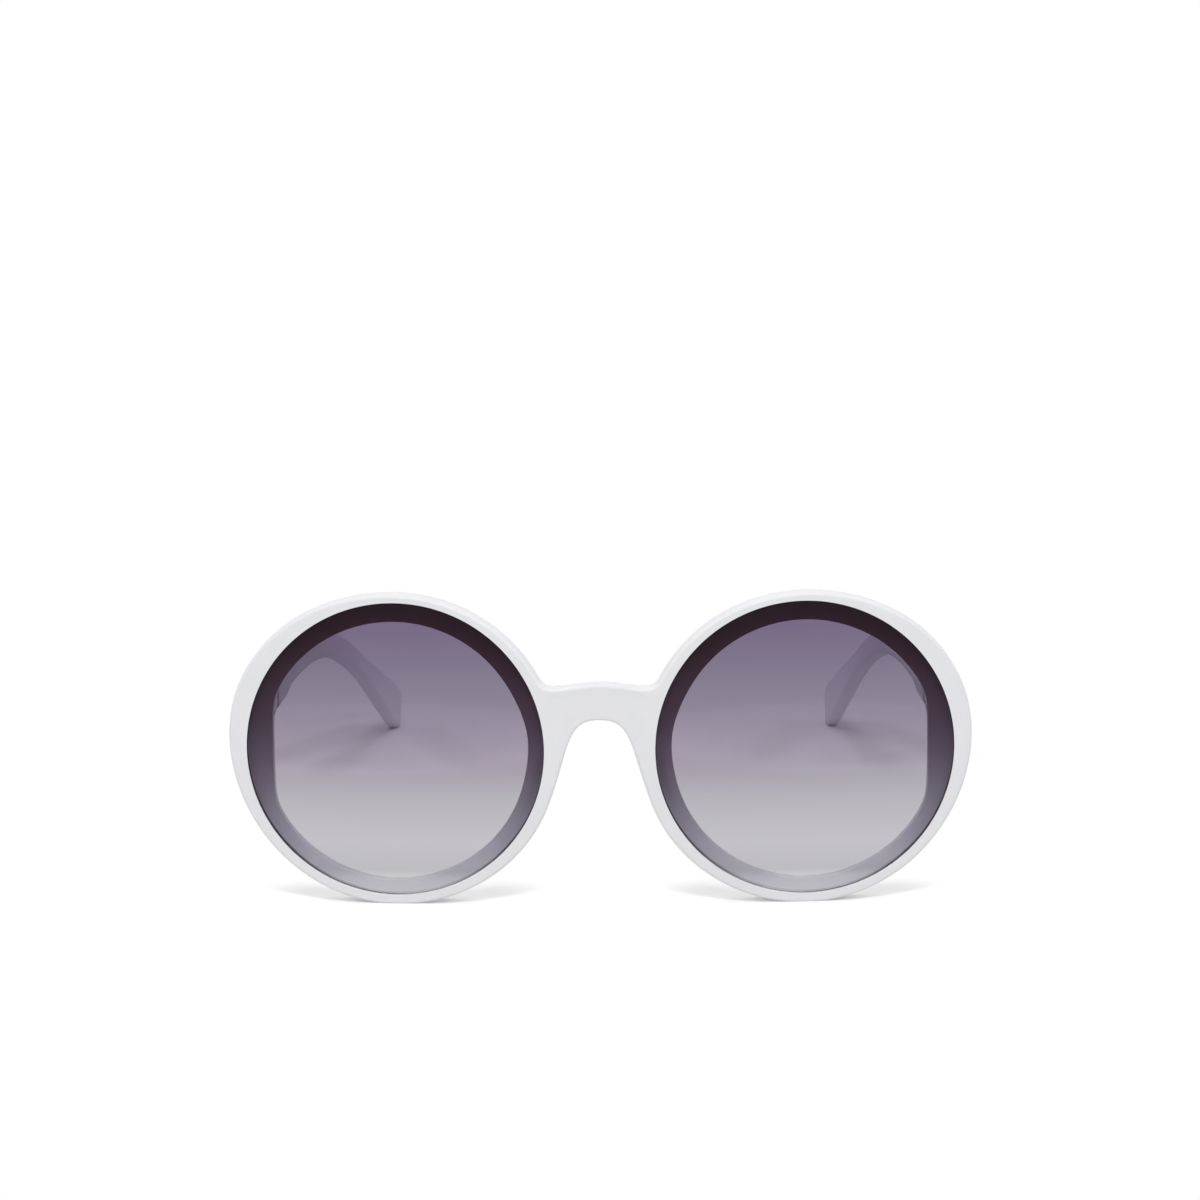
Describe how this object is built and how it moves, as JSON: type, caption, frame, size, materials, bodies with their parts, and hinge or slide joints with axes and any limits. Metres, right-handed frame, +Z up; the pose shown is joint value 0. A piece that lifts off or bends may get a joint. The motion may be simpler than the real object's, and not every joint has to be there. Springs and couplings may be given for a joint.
{
  "type": "sunglasses",
  "caption": "Oversized round sunglasses with a moulded front, gradient tinted lenses and temples that fold flat on screw-pinned hinges.",
  "frame": {"origin": "under the middle of the pair, on the surface it stands on: on the centre plane, halfway between the face of the bridge and the temple tips", "axes": "+X to the wearer's left, +Y back along the temples, +Z up; the front faces -Y"},
  "size_m": [0.1484, 0.1505, 0.063],
  "materials": {
    "white_plastic": "smooth moulded white, softly polished",
    "lens_tint": "transparent plastic, smoky violet at the top fading to pale grey at the bottom",
    "hinge_metal": "stamped and tumbled",
    "screw_steel": "turned",
    "core_wire": "drawn wire"
  },
  "bodies": {
    "front": {"front_frame": "white_plastic", "lens_left": "lens_tint", "lens_right": "lens_tint", "front_hinge_leaf_left": "hinge_metal", "front_hinge_leaf_right": "hinge_metal", "hinge_screw_left": "screw_steel", "hinge_screw_right": "screw_steel"},
    "left_temple": {"temple_left": "white_plastic", "temple_hinge_leaf_left": "hinge_metal", "temple_core_wire_left": "core_wire"},
    "right_temple": {"temple_right": "white_plastic", "temple_hinge_leaf_right": "hinge_metal", "temple_core_wire_right": "core_wire"}
  },
  "joints": [
    {"name": "left_fold", "type": "hinge", "parent": "front", "child": "left_temple", "pos_m": [0.0666, -0.06032, 0.04168], "axis": [0, 0.0227, 0.9997], "range_deg": [0, 85]},
    {"name": "right_fold", "type": "hinge", "parent": "front", "child": "right_temple", "pos_m": [-0.0666, -0.06032, 0.04168], "axis": [0, -0.0227, -0.9997], "range_deg": [0, 79]}
  ]
}
